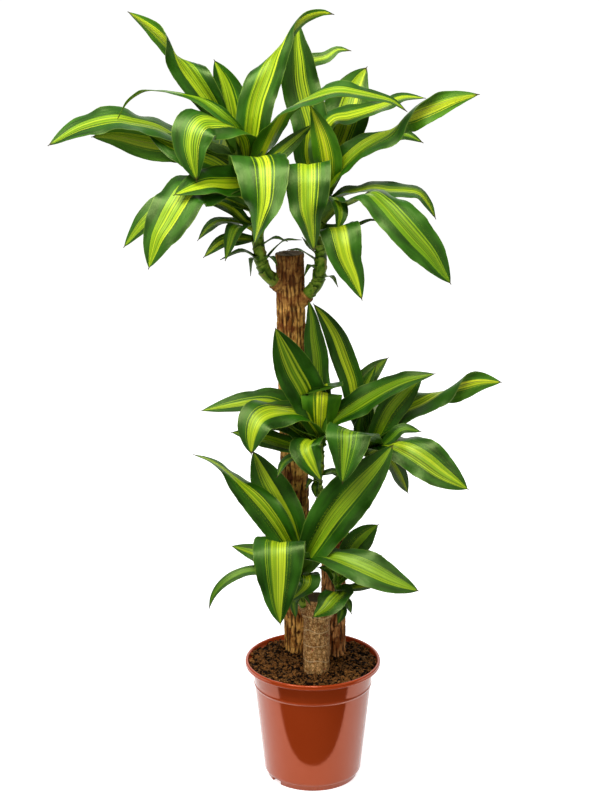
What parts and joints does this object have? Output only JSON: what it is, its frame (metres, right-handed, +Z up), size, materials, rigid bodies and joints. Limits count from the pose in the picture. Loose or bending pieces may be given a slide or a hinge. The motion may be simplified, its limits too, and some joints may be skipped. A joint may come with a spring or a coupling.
{
  "type": "potted corn plant",
  "caption": "Potted corn plant: leafy shoots with striped, arching leaves near the tops of bare rooted canes in a round plastic nursery pot.",
  "frame": {"origin": "centre of the pot's underside, on the surface it stands on", "axes": "+Z up along the pot's axis; -Y towards the viewer, where the shortest cane stands; +X to the viewer's right"},
  "size_m": [0.5986, 0.3138, 1.0709],
  "materials": {
    "pot_plastic": "glossy terracotta colour, moulded",
    "potting_soil": "dark, crumbly and matte",
    "bark": "dry bark with upright fissures, matte",
    "leaf": "leathery leaf with a soft sheen, dark green with a yellow-green middle band"
  },
  "bodies": {
    "root": {"pot": "pot_plastic", "soil": "potting_soil", "cane_tall": "bark", "cane_medium": "bark", "cane_short": "bark", "shoot_tall_left": "leaf", "shoot_tall_right": "leaf", "shoot_medium_left": "leaf", "shoot_medium_right": "leaf", "shoot_short_left": "leaf", "shoot_short_right": "leaf"}
  },
  "joints": []
}
